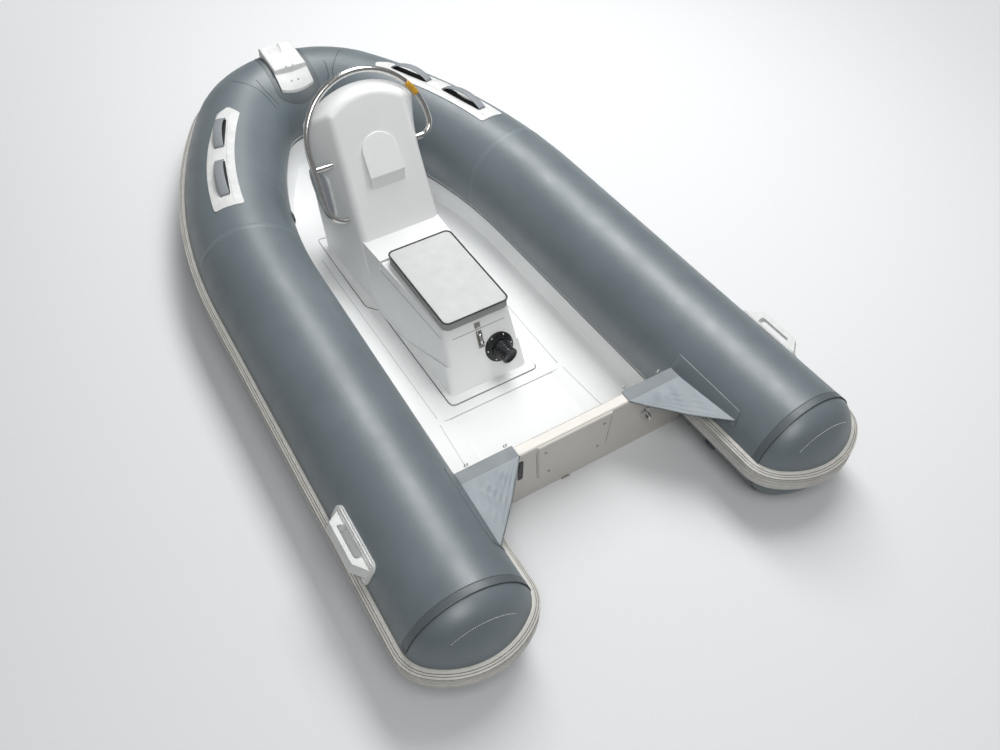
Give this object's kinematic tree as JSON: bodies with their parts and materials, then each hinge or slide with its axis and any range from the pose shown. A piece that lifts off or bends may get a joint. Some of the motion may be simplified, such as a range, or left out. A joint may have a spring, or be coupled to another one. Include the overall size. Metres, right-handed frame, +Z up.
{
  "type": "inflatable boat with a rigid hull and a jockey console",
  "caption": "Open inflatable boat with a rigid V hull, round side tubes, a central seat box with a hinged seat, a leaning console and a stainless rail hoop.",
  "frame": {"origin": "on the centreline at the transom's aft face, at the height of the still water the boat floats in", "axes": "+X to the bow, +Y to port, +Z up"},
  "size_m": [3.1331, 1.7384, 0.8604],
  "materials": {
    "tube_fabric": "satin coated fabric",
    "patch_fabric": "satin coated fabric",
    "strake_rubber": "ribbed satin rubber",
    "white_rubber": "satin moulded rubber",
    "webbing": "woven webbing",
    "gelcoat": "glossy gelcoat",
    "transom_gelcoat": "satin gelcoat",
    "seat_vinyl": "soft grained vinyl",
    "stainless": "polished stainless steel",
    "dark_plastic": "matte moulded plastic",
    "white_plastic": "moulded plastic",
    "clear_cover": "clear plastic cover"
  },
  "bodies": {
    "boat": {"hull": "gelcoat", "deck_liner": "gelcoat", "transom": "transom_gelcoat", "motor_pad": "transom_gelcoat", "drain_fitting": "dark_plastic", "tube_port": "tube_fabric", "tube_starboard": "tube_fabric", "tube_bow": "tube_fabric", "cone_port": "tube_fabric", "cone_starboard": "tube_fabric", "rub_strake": "strake_rubber", "gusset_port": "tube_fabric", "gusset_starboard": "tube_fabric", "handle_pad_port": "white_rubber", "handle_pad_starboard": "white_rubber", "grab_straps_port": "webbing", "grab_straps_starboard": "webbing", "carry_handle_port": "white_rubber", "carry_handle_starboard": "white_rubber", "bow_patch": "patch_fabric", "bow_chock": "white_rubber", "seat_box": "gelcoat", "console": "gelcoat", "hinge_fixed": "stainless", "latch_base": "stainless", "cable_boot": "dark_plastic", "side_panel": "white_plastic", "panel_cover": "clear_cover", "rail_hoop": "stainless", "tow_eye_port": "stainless", "tow_eye_starboard": "stainless", "bow_eye": "stainless", "valve_port": "dark_plastic", "valve_starboard": "dark_plastic", "valve_bow": "dark_plastic"},
    "seat": {"seat_board": "gelcoat", "seat_cushion": "seat_vinyl", "hinge_leaves": "stainless", "latch_catch": "stainless"}
  },
  "joints": [
    {"name": "seat_hinge", "type": "hinge", "parent": "boat", "child": "seat", "pos_m": [1.0865, 0, 0.22], "axis": [0, 1, 0], "range_deg": [0, 95]}
  ]
}
